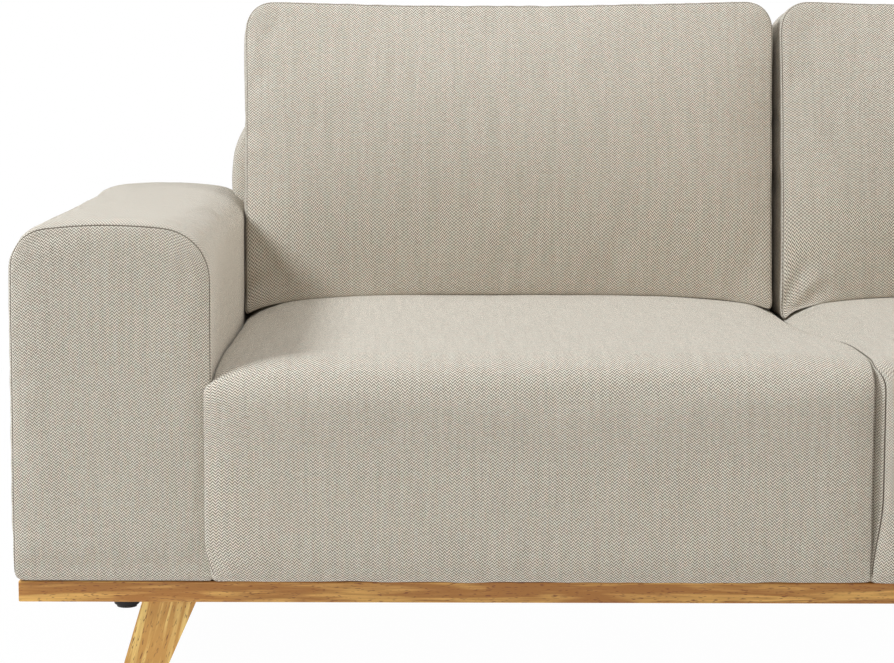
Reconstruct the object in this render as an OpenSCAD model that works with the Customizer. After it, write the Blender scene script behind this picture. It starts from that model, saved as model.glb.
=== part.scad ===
// Two-seat sofa: upholstered arms, sprung seat and padded back on a solid wood plinth.
// Millimetres. X runs along the sofa, -Y is the front, +Z is up. The origin is on the floor at the centre.

/* [Overall] */
// Width over the outer faces of both arms
overall_w = 2040; // [1900:10:2300]
// Depth from the seat fronts to the rearmost line of the back
overall_d = 840; // [820:5:860]
// Height of the top of the padded back
back_top = 750; // [740:5:770]

/* [Plinth and feet] */
// Clear height from the floor to the underside of the plinth
leg_h = 171; // [165:1:185]
// Thickness of the plinth rails, which lie flat
rail_t = 25; // [20:1:28]
// Width of the plinth rails
rail_w = 80; // [70:5:90]
// How far the plinth stands in from the outer faces of the arms
rail_inset = 9; // [5:1:15]
// Width of a front leg where it meets the plinth
leg_top_w = 65; // [60:1:70]
// Width of a front leg at its foot
leg_foot_w = 41; // [36:1:46]
// How far a leg's outer edge splays from top to foot
leg_splay = 50; // [30:1:60]
// Thickness of a front leg, front to back
leg_t = 40; // [32:1:44]
// Diameter of the round rear feet
rear_foot_d = 38; // [34:1:50]

/* [Arms] */
// Width of an arm
arm_w = 242; // [220:1:260]
// Height of the top of an arm above the floor
arm_top = 630; // [620:1:645]
// Radius of the outer top edge of an arm
arm_outer_r = 38; // [34:1:44]
// Radius of the inner top edge of an arm
arm_inner_r = 48; // [44:1:52]
// How far the seat fronts stand in front of the arms
seat_proud = 15; // [10:1:20]

/* [Seat] */
// Height of the crown of the seat above the floor
seat_crown = 478; // [470:1:485]
// Height of the side edges of a seat above the floor
seat_edge = 452; // [445:1:460]
// Radius of the rounded front edge of the seat
seat_front_r = 78; // [60:1:90]
// Springs under each seat
springs_per_seat = 5; // [4:1:5]

/* [Back cushions] */
// Height of the top of a cushion above the floor
cushion_top = 893; // [870:1:900]
// Thickness of a cushion, front to back
cushion_t = 138; // [120:1:145]
// Radius of a cushion's corners, seen from the front
cushion_r = 36; // [25:1:50]

/* [Hidden] */
$fn = 48;
cover_t = 2;
board_t = 15;
panel_t = 9;
lumber_t = 22;
pad_t = 3;
arc_steps = 8;

half_w = overall_w / 2;
seat_half = half_w - arm_w;
y_seat = -overall_d / 2;
y_arm = y_seat + seat_proud;
y_arm_rear = overall_d / 2 - 25;
rail_top = leg_h + rail_t;
body_z = rail_top + 1;
plinth_x = half_w - rail_inset;
plinth_front = y_arm + 5;
plinth_rear = y_arm_rear - 5;

leg_y = plinth_front + 8 + leg_t / 2;
leg_top_out = half_w - 156;
leg_foot_out = leg_top_out + leg_splay;
leg_foot_x = leg_foot_out - leg_foot_w / 2;
leg_bolt_x = [leg_top_out - 16, leg_top_out - 40];
leg_bolt_depth = 30;
rear_foot_x = half_w - 60;
rear_foot_y = y_arm_rear - 123;
bolt_r = 4;
hole_r = 4.5;

frame_top = 322;
deck_z = frame_top + 12;
seat_front_y = y_seat + 24;
seat_rear_y = 298;
spring_t = 4;
spring_w = 50;
clip_w = 34;
clip_d = 16;

arm_box_x = [half_w - 12, seat_half + 16];
arm_box_y = [y_arm + 17, y_arm_rear - 7];
arm_box_z = arm_top - 42;
arm_bolt_y = [-290, -50, 190];
arm_bolt_z = 262;

back_front_y = seat_rear_y + 2;
back_top_r = 35;
back_rear_y = overall_d / 2;
back_foot_y = y_arm_rear - 3;
back_arc_z = back_top - back_top_r;
back_front_top_y = back_rear_y - 2 * back_top_r;
shoulder_w = 24;
shoulder_r = 85;
back_pad_t = 22;
post_t = 22;
post_top = 655;
rake = atan((back_front_top_y - back_front_y) / (back_arc_z - deck_z));

wood = "burlywood";
plywood = "tan";
steel = "silver";
black = [0.06, 0.05, 0.05];
fabric = [0.74, 0.7, 0.63];
foam = "ivory";
felt = "dimgray";

// Points of an arc, from angle a0 to angle a1.
function arc(c, r, a0, a1, steps = arc_steps) =
    [for (i = [0:steps]) let (a = a0 + (a1 - a0) * i / steps) c + r * [cos(a), sin(a)]];

// Front of the padded back at height z, which rakes back above the seat deck.
function back_front(z) = back_front_y + max(0, z - deck_z) * tan(rake);

// Rear of the padded back at height z.
function back_rear(z) =
    back_foot_y + (z - body_z) * (back_rear_y - back_foot_y) / (back_arc_z - body_z);

// Mirrors its children to the right-hand side when side is 1, and leaves them when it is -1.
module on_side(side) {
    if (side > 0) mirror([1, 0, 0]) children();
    else children();
}

// Extrudes an outline drawn in the X-Z plane along Y, from y0 to y1.
module along_y(y0, y1) translate([0, y1, 0]) rotate([90, 0, 0]) linear_extrude(y1 - y0) children();

// Extrudes an outline drawn in the Y-Z plane along X, from x0 to x1.
module along_x(x0, x1) translate([x0, 0, 0]) rotate([90, 0, 90]) linear_extrude(x1 - x0) children();

// An upright round hole or shaft, from z0 to z1.
module upright(x, y, z0, z1, r) translate([x, y, z0]) cylinder(h = z1 - z0, r = r);

// A box between two opposite corners.
module block(low, high) translate(low) cube(high - low);

// ---- Plinth: flat rails with mitred corners, three cross rails, screws up into the frame ----

// Screws that hold the plinth to the seat frame and the arms.
screw_places = concat(
    [for (x = [-600, -200, 200, 600]) [x, seat_front_y + lumber_t / 2]],
    [for (y = [-200, 0, 200]) [0, y]],
    [for (side = [-1, 1], y = [-250, -40, 170]) [side * (half_w - 40), y]]
);
screw_r = 2.2;
screw_up = 18;

module screw_holes(clear = 0.2) {
    for (p = screw_places) {
        upright(p[0], p[1], leg_h - 1, body_z + screw_up + 1, screw_r + clear);
        upright(p[0], p[1], leg_h - 1, leg_h + 4, 5);
    }
}

// Places of the bolts that hold the front legs and the rear feet.
bolt_places = concat(
    [for (side = [-1, 1], x = leg_bolt_x) [side * x, leg_y]],
    [for (side = [-1, 1]) [side * rear_foot_x, rear_foot_y]]
);

module tee_nut_holes() {
    for (p = bolt_places) {
        upright(p[0], p[1], leg_h - 1, leg_h + 10, hole_r);
        upright(p[0], p[1], leg_h + 10, rail_top + 1, 5.7);
        upright(p[0], p[1], rail_top - 1.5, rail_top + 1, 10.2);
    }
}

module plinth_rail(outline) {
    color(wood) difference() {
        translate([0, 0, leg_h]) linear_extrude(rail_t) polygon(outline);
        screw_holes();
        tee_nut_holes();
    }
}

module plinth_front_rail() plinth_rail([
    [-plinth_x, plinth_front], [plinth_x, plinth_front],
    [plinth_x - rail_w, plinth_front + rail_w], [rail_w - plinth_x, plinth_front + rail_w]
]);

module plinth_back_rail() plinth_rail([
    [rail_w - plinth_x, plinth_rear - rail_w], [plinth_x - rail_w, plinth_rear - rail_w],
    [plinth_x, plinth_rear], [-plinth_x, plinth_rear]
]);

module plinth_side_rail(side) plinth_rail([
    [side * plinth_x, plinth_front], [side * plinth_x, plinth_rear],
    [side * (plinth_x - rail_w), plinth_rear - rail_w],
    [side * (plinth_x - rail_w), plinth_front + rail_w]
]);

module plinth_cross_rails() {
    for (x = [-500, 0, 500]) {
        plinth_rail([
            [x - rail_w / 2, plinth_front + rail_w], [x + rail_w / 2, plinth_front + rail_w],
            [x + rail_w / 2, plinth_rear - rail_w], [x - rail_w / 2, plinth_rear - rail_w]
        ]);
    }
}

module plinth_screws() {
    color(steel) for (p = screw_places) {
        upright(p[0], p[1], leg_h + 2, body_z + screw_up, screw_r);
        upright(p[0], p[1], leg_h + 1, leg_h + 4, 4.6);
    }
}

// ---- Front legs: tapered, splayed boards with bolts and glides ----

module front_leg(side) {
    color(wood) on_side(side) difference() {
        along_y(leg_y - leg_t / 2, leg_y + leg_t / 2) polygon([
            [-leg_foot_out, pad_t], [leg_foot_w - leg_foot_out, pad_t],
            [leg_top_w - leg_top_out, leg_h], [-leg_top_out, leg_h]
        ]);
        for (x = leg_bolt_x) upright(-x, leg_y, leg_h - leg_bolt_depth, leg_h + 1, bolt_r + 0.1);
        upright(-leg_foot_x, leg_y, 0, 16, 1.6);
    }
}

module leg_bolts() {
    color(steel) for (p = bolt_places) {
        upright(p[0], p[1], leg_h - leg_bolt_depth, rail_top - 2, bolt_r);
    }
}

module tee_nuts() {
    color(steel) for (p = bolt_places) difference() {
        union() {
            upright(p[0], p[1], leg_h + 10, rail_top - 1, 5.6);
            upright(p[0], p[1], rail_top - 1.5, rail_top, 10);
        }
        upright(p[0], p[1], leg_h, rail_top + 1, bolt_r + 0.1);
    }
}

module leg_glides() {
    color(black) for (side = [-1, 1]) {
        upright(side * leg_foot_x, leg_y, 0, pad_t, 15);
        upright(side * leg_foot_x, leg_y, pad_t - 1, 15, 1.5);
    }
}

// ---- Rear feet: round moulded feet on the same bolts, with felt pads ----

module rear_foot(side) {
    r = rear_foot_d / 2;
    edge = 3;
    color(black) translate([side * rear_foot_x, rear_foot_y, 0]) difference() {
        rotate_extrude() polygon(concat(
            [[0, leg_h], [0, pad_t]],
            arc([r - edge, pad_t + edge], edge, -90, 0, 4),
            [[r, leg_h]]
        ));
        upright(0, 0, leg_h - leg_bolt_depth, leg_h + 1, bolt_r + 0.1);
    }
}

module foot_pads() {
    color(felt) for (side = [-1, 1]) {
        upright(side * rear_foot_x, rear_foot_y, 0, pad_t, rear_foot_d / 2 - 4);
    }
}

module dust_cover() {
    color(black) difference() {
        block([6 - plinth_x, plinth_front + 6, rail_top], [plinth_x - 6, plinth_rear - 6, body_z]);
        screw_holes();
    }
}

// ---- Seat frame: hardwood rails, corner blocks, serpentine springs and felt ----

module seat_front_rail() {
    color(wood) difference() {
        block([1 - seat_half, seat_front_y, body_z],
              [seat_half - 1, seat_front_y + lumber_t, frame_top]);
        screw_holes();
    }
}

module seat_back_rail() {
    color(wood) block([1 - seat_half, seat_rear_y - lumber_t, body_z],
                      [seat_half - 1, seat_rear_y, frame_top]);
}

module seat_side_rail(side) {
    color(wood) on_side(side) difference() {
        block([1 - seat_half, seat_front_y + lumber_t, body_z],
              [1 - seat_half + lumber_t, seat_rear_y - lumber_t, frame_top]);
        for (y = arm_bolt_y) {
            translate([-seat_half, y, arm_bolt_z]) rotate([0, 90, 0]) cylinder(h = 30, r = hole_r);
        }
    }
}

module seat_centre_rail() {
    color(wood) difference() {
        block([-lumber_t / 2, seat_front_y + lumber_t, body_z],
              [lumber_t / 2, seat_rear_y - lumber_t, frame_top]);
        screw_holes();
    }
}

module seat_corner_blocks() {
    size = 60;
    x_out = seat_half - 1 - lumber_t;
    y0 = seat_front_y + lumber_t;
    y1 = seat_rear_y - lumber_t;
    color(plywood) for (side = [-1, 1], c = [[x_out, -1], [lumber_t / 2, 1]], e = [[y0, 1], [y1, -1]]) {
        translate([0, 0, frame_top - 70]) linear_extrude(50) polygon([
            [side * c[0], e[0]], [side * (c[0] + c[1] * size), e[0]],
            [side * c[0], e[0] + e[1] * size]
        ]);
    }
}

// X places of the springs of the left seat.
spring_pitch = (seat_half - 2 * lumber_t) / springs_per_seat;
spring_x = [for (i = [0:springs_per_seat - 1]) -lumber_t - spring_pitch * (i + 0.5)];
spring_y = [seat_front_y + 12, seat_rear_y - 12];
spring_bars = 24;
bar_pitch = (spring_y[1] - spring_y[0]) / (spring_bars - 1);

// A bend of a spring, half a ring that opens towards -X.
module spring_bend() difference() {
    circle(d = bar_pitch + spring_t);
    circle(d = bar_pitch - spring_t);
    translate([-bar_pitch, -bar_pitch]) square([bar_pitch, 2 * bar_pitch]);
}

// A serpentine spring: straight bars joined end to end by bends, left and right in turn.
module spring() linear_extrude(spring_t) {
    for (i = [0:spring_bars - 1]) translate([-spring_w / 2, spring_y[0] + i * bar_pitch - spring_t / 2]) {
        square([spring_w, spring_t]);
    }
    for (i = [0:spring_bars - 2]) translate([0, spring_y[0] + (i + 0.5) * bar_pitch]) {
        mirror([i % 2, 0, 0]) translate([spring_w / 2, 0]) spring_bend();
    }
}

module seat_springs(side) {
    color(steel) on_side(side) for (x = spring_x) translate([x, 0, frame_top + 2]) spring();
}

// A folded clip on the rail's top edge, closed on the side away from the spring.
module spring_clip() difference() {
    translate([-clip_w / 2, -clip_d / 2, 0]) cube([clip_w, clip_d, 8]);
    translate([-clip_w / 2 - 1, 2 - clip_d / 2, 1.8]) cube([clip_w + 2, clip_d, spring_t + 0.4]);
}

module spring_clips() {
    color(steel) for (side = [-1, 1], x = spring_x, end = [0, 1]) {
        translate([-side * x, spring_y[end], frame_top]) mirror([0, end, 0]) spring_clip();
    }
}

module seat_felts() {
    color(felt) for (side = [-1, 1]) on_side(side) {
        block([6 - seat_half, seat_front_y + lumber_t, frame_top + 8.5], [-6, seat_rear_y - 22, deck_z]);
    }
}

// ---- Seat foam and cover: a crowned seat that rolls over the front rail ----

// Side view. The front drop reaches the bottom of the frame, and the rest lies on the deck.
function seat_roll(inset) = concat(
    [[y_seat + inset, body_z + inset]],
    arc([y_seat + seat_front_r, seat_crown - seat_front_r], seat_front_r - inset, 180, 90)
);

module seat_side_view(inset) polygon(concat(seat_roll(inset), [
    [seat_rear_y, seat_crown - inset],
    [seat_rear_y, deck_z - cover_t + inset],
    [seat_front_y - cover_t + inset, deck_z - cover_t + inset],
    [seat_front_y - cover_t + inset, body_z + inset]
]));

module seat_hollow_view() polygon(concat(
    [[seat_rear_y + 1, 0], [y_seat + cover_t, 0]],
    seat_roll(cover_t),
    [[seat_rear_y + 1, seat_crown - cover_t]]
));

// Front view of the left seat: crowned between its side edges.
seat_x = [0.5 - seat_half, -1];
seat_mid = (seat_x[0] + seat_x[1]) / 2;
function crown(x, inset) =
    seat_crown - inset - (seat_crown - seat_edge) * pow((x - seat_mid) / (seat_mid - seat_x[0]), 2);

module seat_front_view(inset) polygon(concat(
    [[seat_x[0] + inset, 0]],
    [for (i = [0:14]) let (x = seat_x[0] + inset + (seat_x[1] - seat_x[0] - 2 * inset) * i / 14)
        [x, crown(x, inset)]],
    [[seat_x[1] - inset, 0]]
));

module seat_foam(side) {
    color(foam) on_side(side) intersection() {
        along_x(seat_x[0] - 1, seat_x[1] + 1) seat_side_view(cover_t);
        along_y(y_seat - 1, seat_rear_y + 1) seat_front_view(cover_t);
    }
}

module seat_cover(side) {
    color(fabric) on_side(side) difference() {
        intersection() {
            along_x(seat_x[0] - 1, seat_x[1] + 1) seat_side_view(0);
            along_y(y_seat - 1, seat_rear_y + 1) seat_front_view(0);
        }
        intersection() {
            along_x(seat_x[0] - 1, seat_x[1] + 1) seat_hollow_view();
            along_y(y_seat - 1, seat_rear_y + 2) seat_front_view(cover_t);
        }
    }
}

// ---- Arms: a board frame, a foam wrap and a cover ----

module arm_section(inset, bottom) polygon(concat(
    [[inset - half_w, bottom]],
    arc([arm_outer_r - half_w, arm_top - arm_outer_r], arm_outer_r - inset, 180, 90),
    arc([-seat_half - arm_inner_r, arm_top - arm_inner_r], arm_inner_r - inset, 90, 0),
    [[-seat_half - inset, bottom]]
));

module arm_bolt_holes(r) {
    for (y = arm_bolt_y) {
        translate([-arm_box_x[1] - 20, y, arm_bolt_z]) rotate([0, 90, 0]) cylinder(h = 60, r = r);
    }
}

module arm_cover(side) {
    color(fabric) on_side(side) difference() {
        along_y(y_arm, y_arm_rear) arm_section(0, body_z);
        along_y(y_arm + cover_t, y_arm_rear - cover_t) arm_section(cover_t, body_z - 1);
        arm_bolt_holes(hole_r);
    }
}

module arm_foam(side) {
    color(foam) on_side(side) difference() {
        along_y(y_arm + cover_t, y_arm_rear - cover_t) arm_section(cover_t, body_z);
        block([-arm_box_x[0], arm_box_y[0], 0], [-arm_box_x[1], arm_box_y[1], arm_box_z]);
        arm_bolt_holes(hole_r);
    }
}

// An end board of the arm frame, from y0 back.
module arm_end_board(side, y0) {
    color(plywood) on_side(side)
        block([-arm_box_x[0], y0, body_z], [-arm_box_x[1], y0 + board_t, arm_box_z]);
}

module arm_top_board(side) {
    color(plywood) on_side(side)
        block([-arm_box_x[0], arm_box_y[0] + board_t, arm_box_z - board_t],
              [-arm_box_x[1], arm_box_y[1] - board_t, arm_box_z]);
}

module arm_outer_panel(side) {
    color(plywood) on_side(side)
        block([-arm_box_x[0], arm_box_y[0] + board_t, body_z],
              [panel_t - arm_box_x[0], arm_box_y[1] - board_t, arm_box_z - board_t]);
}

module arm_inner_panel(side) {
    color(plywood) on_side(side) difference() {
        block([-arm_box_x[1] - panel_t, arm_box_y[0] + board_t, body_z],
              [-arm_box_x[1], arm_box_y[1] - board_t, arm_box_z - board_t]);
        arm_bolt_holes(hole_r);
    }
}

module arm_battens() {
    batten_w = 60;
    x_out = half_w - 12 - panel_t;
    x_in = arm_box_x[1] + panel_t + batten_w;
    color(wood) for (side = [-1, 1], x = [x_out, x_in]) on_side(side) difference() {
        block([-x, arm_box_y[0] + board_t, body_z], [batten_w - x, arm_box_y[1] - board_t, body_z + lumber_t]);
        screw_holes();
    }
}

module arm_bolts() {
    color(steel) for (side = [-1, 1], y = arm_bolt_y) on_side(side) {
        translate([-arm_box_x[1] - panel_t, y, arm_bolt_z]) rotate([0, 90, 0]) {
            translate([0, 0, -6]) cylinder(h = 6, r = 9);
            translate([0, 0, -1]) cylinder(h = 52, r = bolt_r);
        }
        translate([1 - seat_half + lumber_t, y, arm_bolt_z]) rotate([0, 90, 0]) difference() {
            cylinder(h = 5, r = 9);
            translate([0, 0, -1]) cylinder(h = 7, r = bolt_r + 0.1);
        }
    }
}

// ---- Back: posts, rails, webbing, foam and cover, with shoulders above the arms ----

module back_side_view(inset, bottom) polygon(concat(
    [[back_front_y + inset, bottom], [back_front_y + inset, deck_z]],
    arc([back_front_top_y + back_top_r, back_arc_z], back_top_r - inset, 180, 0),
    [[back_rear(bottom) - inset, bottom]]
));

// Front view of the padded back. Above the arms its shoulders step out over their rounded tops.
module back_front_view(inset, bottom) {
    wide = seat_half + shoulder_w - inset;
    r = shoulder_r - inset;
    over_r = arm_inner_r + 2 + inset;
    over_a = acos((seat_half + arm_inner_r - wide) / over_r);
    left = concat(
        [[over_r - seat_half - arm_inner_r, bottom]],
        arc([-seat_half - arm_inner_r, arm_top - arm_inner_r], over_r, 0, over_a),
        arc([r - wide, back_top - shoulder_r], r, 180, 90)
    );
    polygon(concat(left, [for (i = [len(left) - 1:-1:0]) [-left[i][0], left[i][1]]]));
}

module back_body(inset, bottom) {
    intersection() {
        along_x(-half_w, half_w) back_side_view(inset, bottom);
        along_y(0, overall_d) back_front_view(inset, bottom);
    }
}

// The space that the wooden back frame takes, open to the rear.
module back_frame_space() {
    along_x(20 - seat_half, seat_half - 20) polygon([
        [back_front_y + back_pad_t, 0], [back_front_y + back_pad_t, deck_z],
        [back_front(post_top + 46) + back_pad_t, post_top + 46],
        [overall_d, post_top + 46], [overall_d, 0]
    ]);
}

module back_cover() {
    color(fabric) difference() {
        back_body(0, body_z);
        back_body(cover_t, body_z - 1);
    }
}

module back_foam() {
    color(foam) difference() {
        back_body(cover_t, body_z);
        back_frame_space();
    }
}

module back_posts() {
    y0 = back_pad_t + 2.5;
    color(wood) for (x = [22 - seat_half, -post_t / 2, seat_half - 22 - post_t]) {
        along_x(x, x + post_t) polygon([
            [back_front_y + y0, body_z], [back_front_y + y0, deck_z],
            [back_front(post_top) + y0, post_top], [back_rear(post_top) - 7, post_top],
            [back_rear(body_z) - 7, body_z]
        ]);
    }
}

module back_top_rail() {
    y0 = back_front(post_top + 45) + back_pad_t + 1;
    color(wood) block([22 - seat_half, y0, post_top], [seat_half - 22, back_rear(post_top) - 7, post_top + 45]);
}

module back_bottom_rail() {
    y0 = back_front(deck_z + 60) + back_pad_t + 3;
    color(wood) for (side = [-1, 1]) on_side(side) {
        block([22 - seat_half + post_t, y0, deck_z + 6], [-post_t / 2, y0 + lumber_t, deck_z + 60]);
    }
}

module back_webbing() {
    strap_w = 50;
    color("black") for (z = [400, 465, 530, 595]) {
        translate([22 - seat_half, back_front(z) + back_pad_t + 0.7, z])
            rotate([-rake, 0, 0]) cube([2 * seat_half - 44, 1.5, strap_w]);
    }
}

module back_rear_board() {
    color(plywood) along_x(22 - seat_half, seat_half - 22) polygon([
        [back_rear(body_z) - 6.5, body_z], [back_rear(post_top + 42) - 6.5, post_top + 42],
        [back_rear(post_top + 42) - 3, post_top + 42], [back_rear(body_z) - 3, body_z]
    ]);
}

// ---- Back cushions: loose, leaning on the back and standing on the seat ----

cushion_x = [1.5 - seat_half, -2];
cushion_z0 = seat_crown + 2;
cushion_y1 = back_front(cushion_z0) - 1;
cushion_lean_t = cushion_t / cos(rake);
cushion_top_drop = cushion_t * sin(rake);

// Side view of a cushion: it leans on the back, and its top is square to the lean.
module cushion_side_view(inset) {
    skin = inset / cos(rake);
    rise = cushion_top - cushion_z0;
    y0 = cushion_y1 - cushion_lean_t + skin;
    y1 = cushion_y1 - skin;
    drop = cushion_top_drop;
    polygon([
        [y0 - 40 * tan(rake), cushion_z0 - 40], [y0 + rise * tan(rake), cushion_top - inset],
        [y1 + (rise - drop) * tan(rake), cushion_top - drop - inset], [y1 - 40 * tan(rake), cushion_z0 - 40]
    ]);
}

// Front view of the left cushion. Its lower edge follows the crown of the seat.
module cushion_front_view(inset) {
    x0 = cushion_x[0] + inset;
    x1 = cushion_x[1] - inset;
    r = cushion_r - inset;
    top = cushion_top + 1;
    polygon(concat(
        arc([x1 - r, top - cushion_r], r, 0, 90),
        arc([x0 + r, top - cushion_r], r, 90, 180),
        [for (i = [0:14]) let (x = x0 + (x1 - x0) * i / 14) [x, cushion_z0 + crown(x, 0) - seat_crown + inset]]
    ));
}

module cushion_body(inset) intersection() {
    along_x(-seat_half, 0) cushion_side_view(inset);
    along_y(0, overall_d) cushion_front_view(inset);
}

// A strip across the back of the left cushion near its foot, where its zip is sewn in.
zip_x = [cushion_x[0] + 60, cushion_x[1] - 60];
zip_z = 20;
zip_h = 8;
module zip_strip(depth, clear) {
    translate([0, cushion_y1, cushion_z0]) rotate([-rake, 0, 0]) {
        block([zip_x[0] + clear, -depth, zip_z + clear], [zip_x[1] - clear, 2 - 10 * clear, zip_z + zip_h - clear]);
    }
}

module back_cushion_cover(side) {
    color(fabric) on_side(side) difference() {
        cushion_body(0);
        cushion_body(cover_t);
        zip_strip(cover_t + 1, 0);
    }
}

module back_cushion_core(side) {
    color(foam) on_side(side) cushion_body(cover_t);
}

module back_cushion_zip(side) {
    color(felt) on_side(side) zip_strip(cover_t - 0.1, 0.2);
}

plinth_front_rail();
plinth_back_rail();
plinth_side_rail(-1);  // plinth_side_rail_left
plinth_side_rail(1);  // plinth_side_rail_right
plinth_cross_rails();
plinth_screws();
front_leg(-1);  // front_leg_left
front_leg(1);  // front_leg_right
leg_bolts();
tee_nuts();
leg_glides();
rear_foot(-1);  // rear_foot_left
rear_foot(1);  // rear_foot_right
foot_pads();
dust_cover();
seat_front_rail();
seat_back_rail();
seat_side_rail(-1);  // seat_side_rail_left
seat_side_rail(1);  // seat_side_rail_right
seat_centre_rail();
seat_corner_blocks();
seat_springs(-1);  // seat_springs_left
seat_springs(1);  // seat_springs_right
spring_clips();
seat_felts();
seat_foam(-1);  // seat_foam_left
seat_foam(1);  // seat_foam_right
seat_cover(-1);  // seat_cover_left
seat_cover(1);  // seat_cover_right
arm_end_board(-1, arm_box_y[0]);  // arm_front_board_left
arm_end_board(-1, arm_box_y[1] - board_t);  // arm_rear_board_left
arm_top_board(-1);  // arm_top_board_left
arm_outer_panel(-1);  // arm_outer_panel_left
arm_inner_panel(-1);  // arm_inner_panel_left
arm_foam(-1);  // arm_foam_left
arm_cover(-1);  // arm_cover_left
arm_end_board(1, arm_box_y[0]);  // arm_front_board_right
arm_end_board(1, arm_box_y[1] - board_t);  // arm_rear_board_right
arm_top_board(1);  // arm_top_board_right
arm_outer_panel(1);  // arm_outer_panel_right
arm_inner_panel(1);  // arm_inner_panel_right
arm_foam(1);  // arm_foam_right
arm_cover(1);  // arm_cover_right
arm_battens();
arm_bolts();
back_posts();
back_top_rail();
back_bottom_rail();
back_webbing();
back_rear_board();
back_foam();
back_cover();
back_cushion_core(-1);  // back_cushion_core_left
back_cushion_core(1);  // back_cushion_core_right
back_cushion_cover(-1);  // back_cushion_cover_left
back_cushion_cover(1);  // back_cushion_cover_right
back_cushion_zip(-1);  // back_cushion_zip_left
back_cushion_zip(1);  // back_cushion_zip_right
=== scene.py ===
import math

import bmesh
import bpy
from mathutils import Matrix, Vector, noise


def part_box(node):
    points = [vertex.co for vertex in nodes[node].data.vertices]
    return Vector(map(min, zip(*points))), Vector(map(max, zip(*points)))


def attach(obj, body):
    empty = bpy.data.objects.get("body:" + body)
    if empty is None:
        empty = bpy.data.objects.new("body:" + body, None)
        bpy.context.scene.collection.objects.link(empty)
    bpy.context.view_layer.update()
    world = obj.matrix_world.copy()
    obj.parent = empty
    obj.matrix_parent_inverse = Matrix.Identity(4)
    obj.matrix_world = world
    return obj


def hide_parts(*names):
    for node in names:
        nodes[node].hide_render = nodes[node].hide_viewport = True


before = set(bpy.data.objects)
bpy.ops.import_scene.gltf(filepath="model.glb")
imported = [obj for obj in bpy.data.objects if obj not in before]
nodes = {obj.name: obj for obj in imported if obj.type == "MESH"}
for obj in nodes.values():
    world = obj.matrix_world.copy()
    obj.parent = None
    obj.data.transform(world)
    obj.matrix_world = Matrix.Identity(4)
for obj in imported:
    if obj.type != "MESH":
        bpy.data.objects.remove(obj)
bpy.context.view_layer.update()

scene = bpy.context.scene
scene.view_settings.view_transform = "Standard"

# ---- Camera ----
# Stands in front of the left seat at standing chest height and looks slightly down.
# The shift frames the left arm and the left seat without tilting the verticals further.
camera = bpy.data.objects.new("camera", bpy.data.cameras.new("camera"))
camera.data.lens = 91.1
camera.data.shift_x = 0.0945
camera.data.shift_y = -0.0367
camera.location = (-0.573, -3.04, 0.822)
camera.rotation_euler = (math.radians(83.8), 0, math.radians(0.6))
scene.collection.objects.link(camera)
scene.camera = camera


# ---- Studio ----
# A white floor under soft cool light: a strong panel high on the left, which throws the arm's
# shadow on the cushion, weaker ones all round, and a warm world that fills the shadows.
def srgb(code, alpha=1.0):
    """A colour written as six hex digits, as the linear colour that a shader takes."""
    parts = [int(code[i:i + 2], 16) / 255 for i in (0, 2, 4)]
    return (*[c / 12.92 if c <= 0.04045 else ((c + 0.055) / 1.055) ** 2.4 for c in parts], alpha)


def add(tree, kind, inputs=None, **settings):
    """Adds a node. Each input is a value or the output socket of another node."""
    node = tree.nodes.new("ShaderNode" + kind)
    for name, value in settings.items():
        setattr(node, name, value)
    for name, value in (inputs or {}).items():
        if isinstance(value, bpy.types.NodeSocket):
            tree.links.new(value, node.inputs[name])
        else:
            node.inputs[name].default_value = value
    return node


def new_material(name):
    """An empty material, and its node tree."""
    material = bpy.data.materials.new(name)
    material.use_nodes = True
    material.node_tree.nodes.clear()
    return material, material.node_tree


world = bpy.data.worlds.new("studio")
scene.world = world
world.use_nodes = True
tree = world.node_tree
tree.nodes.clear()
path = add(tree, "LightPath")
camera_ray = path.outputs["Is Camera Ray"]
seen = add(tree, "Math", {0: camera_ray, 1: path.outputs["Is Glossy Ray"]}, operation="MAXIMUM")
seen = add(tree, "Math", {0: seen.outputs[0], 1: path.outputs["Is Transmission Ray"]}, operation="MAXIMUM")
fill = add(tree, "Background", {"Color": srgb("FFF0DE"), "Strength": 0.25})
white = add(tree, "Background", {"Color": (1, 1, 1, 1), "Strength": 1.0})
shown = add(tree, "MixShader", {0: seen.outputs[0], 1: fill.outputs[0], 2: white.outputs[0]})
add(tree, "OutputWorld", {"Surface": shown.outputs[0]})

bm = bmesh.new()
bmesh.ops.create_grid(bm, x_segments=1, y_segments=1, size=30)
mesh = bpy.data.meshes.new("floor")
bm.to_mesh(mesh)
bm.free()
floor = bpy.data.objects.new("floor", mesh)
scene.collection.objects.link(floor)
floor_paint, tree = new_material("white_studio_floor")
path = add(tree, "LightPath")
place = add(tree, "TexCoord")
away = add(tree, "VectorMath", {0: place.outputs["Object"]}, operation="LENGTH")
# A faint shadow shows near the sofa. From 3 m away the floor runs into the white backdrop.
share = add(tree, "MapRange", {0: away.outputs["Value"], 1: 1.6, 2: 3.2, 3: 0.985, 4: 1.0})
show = add(tree, "Math", {0: path.outputs["Is Camera Ray"], 1: share.outputs[0]}, operation="MULTIPLY")
matt = add(tree, "BsdfDiffuse", {"Color": srgb("F4F4F4")})
glow = add(tree, "Emission", {"Color": (1, 1, 1, 1), "Strength": 1.0})
mixed = add(tree, "MixShader", {0: show.outputs[0], 1: matt.outputs[0], 2: glow.outputs[0]})
add(tree, "OutputMaterial", {"Surface": mixed.outputs[0]})
mesh.materials.append(floor_paint)

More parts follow.
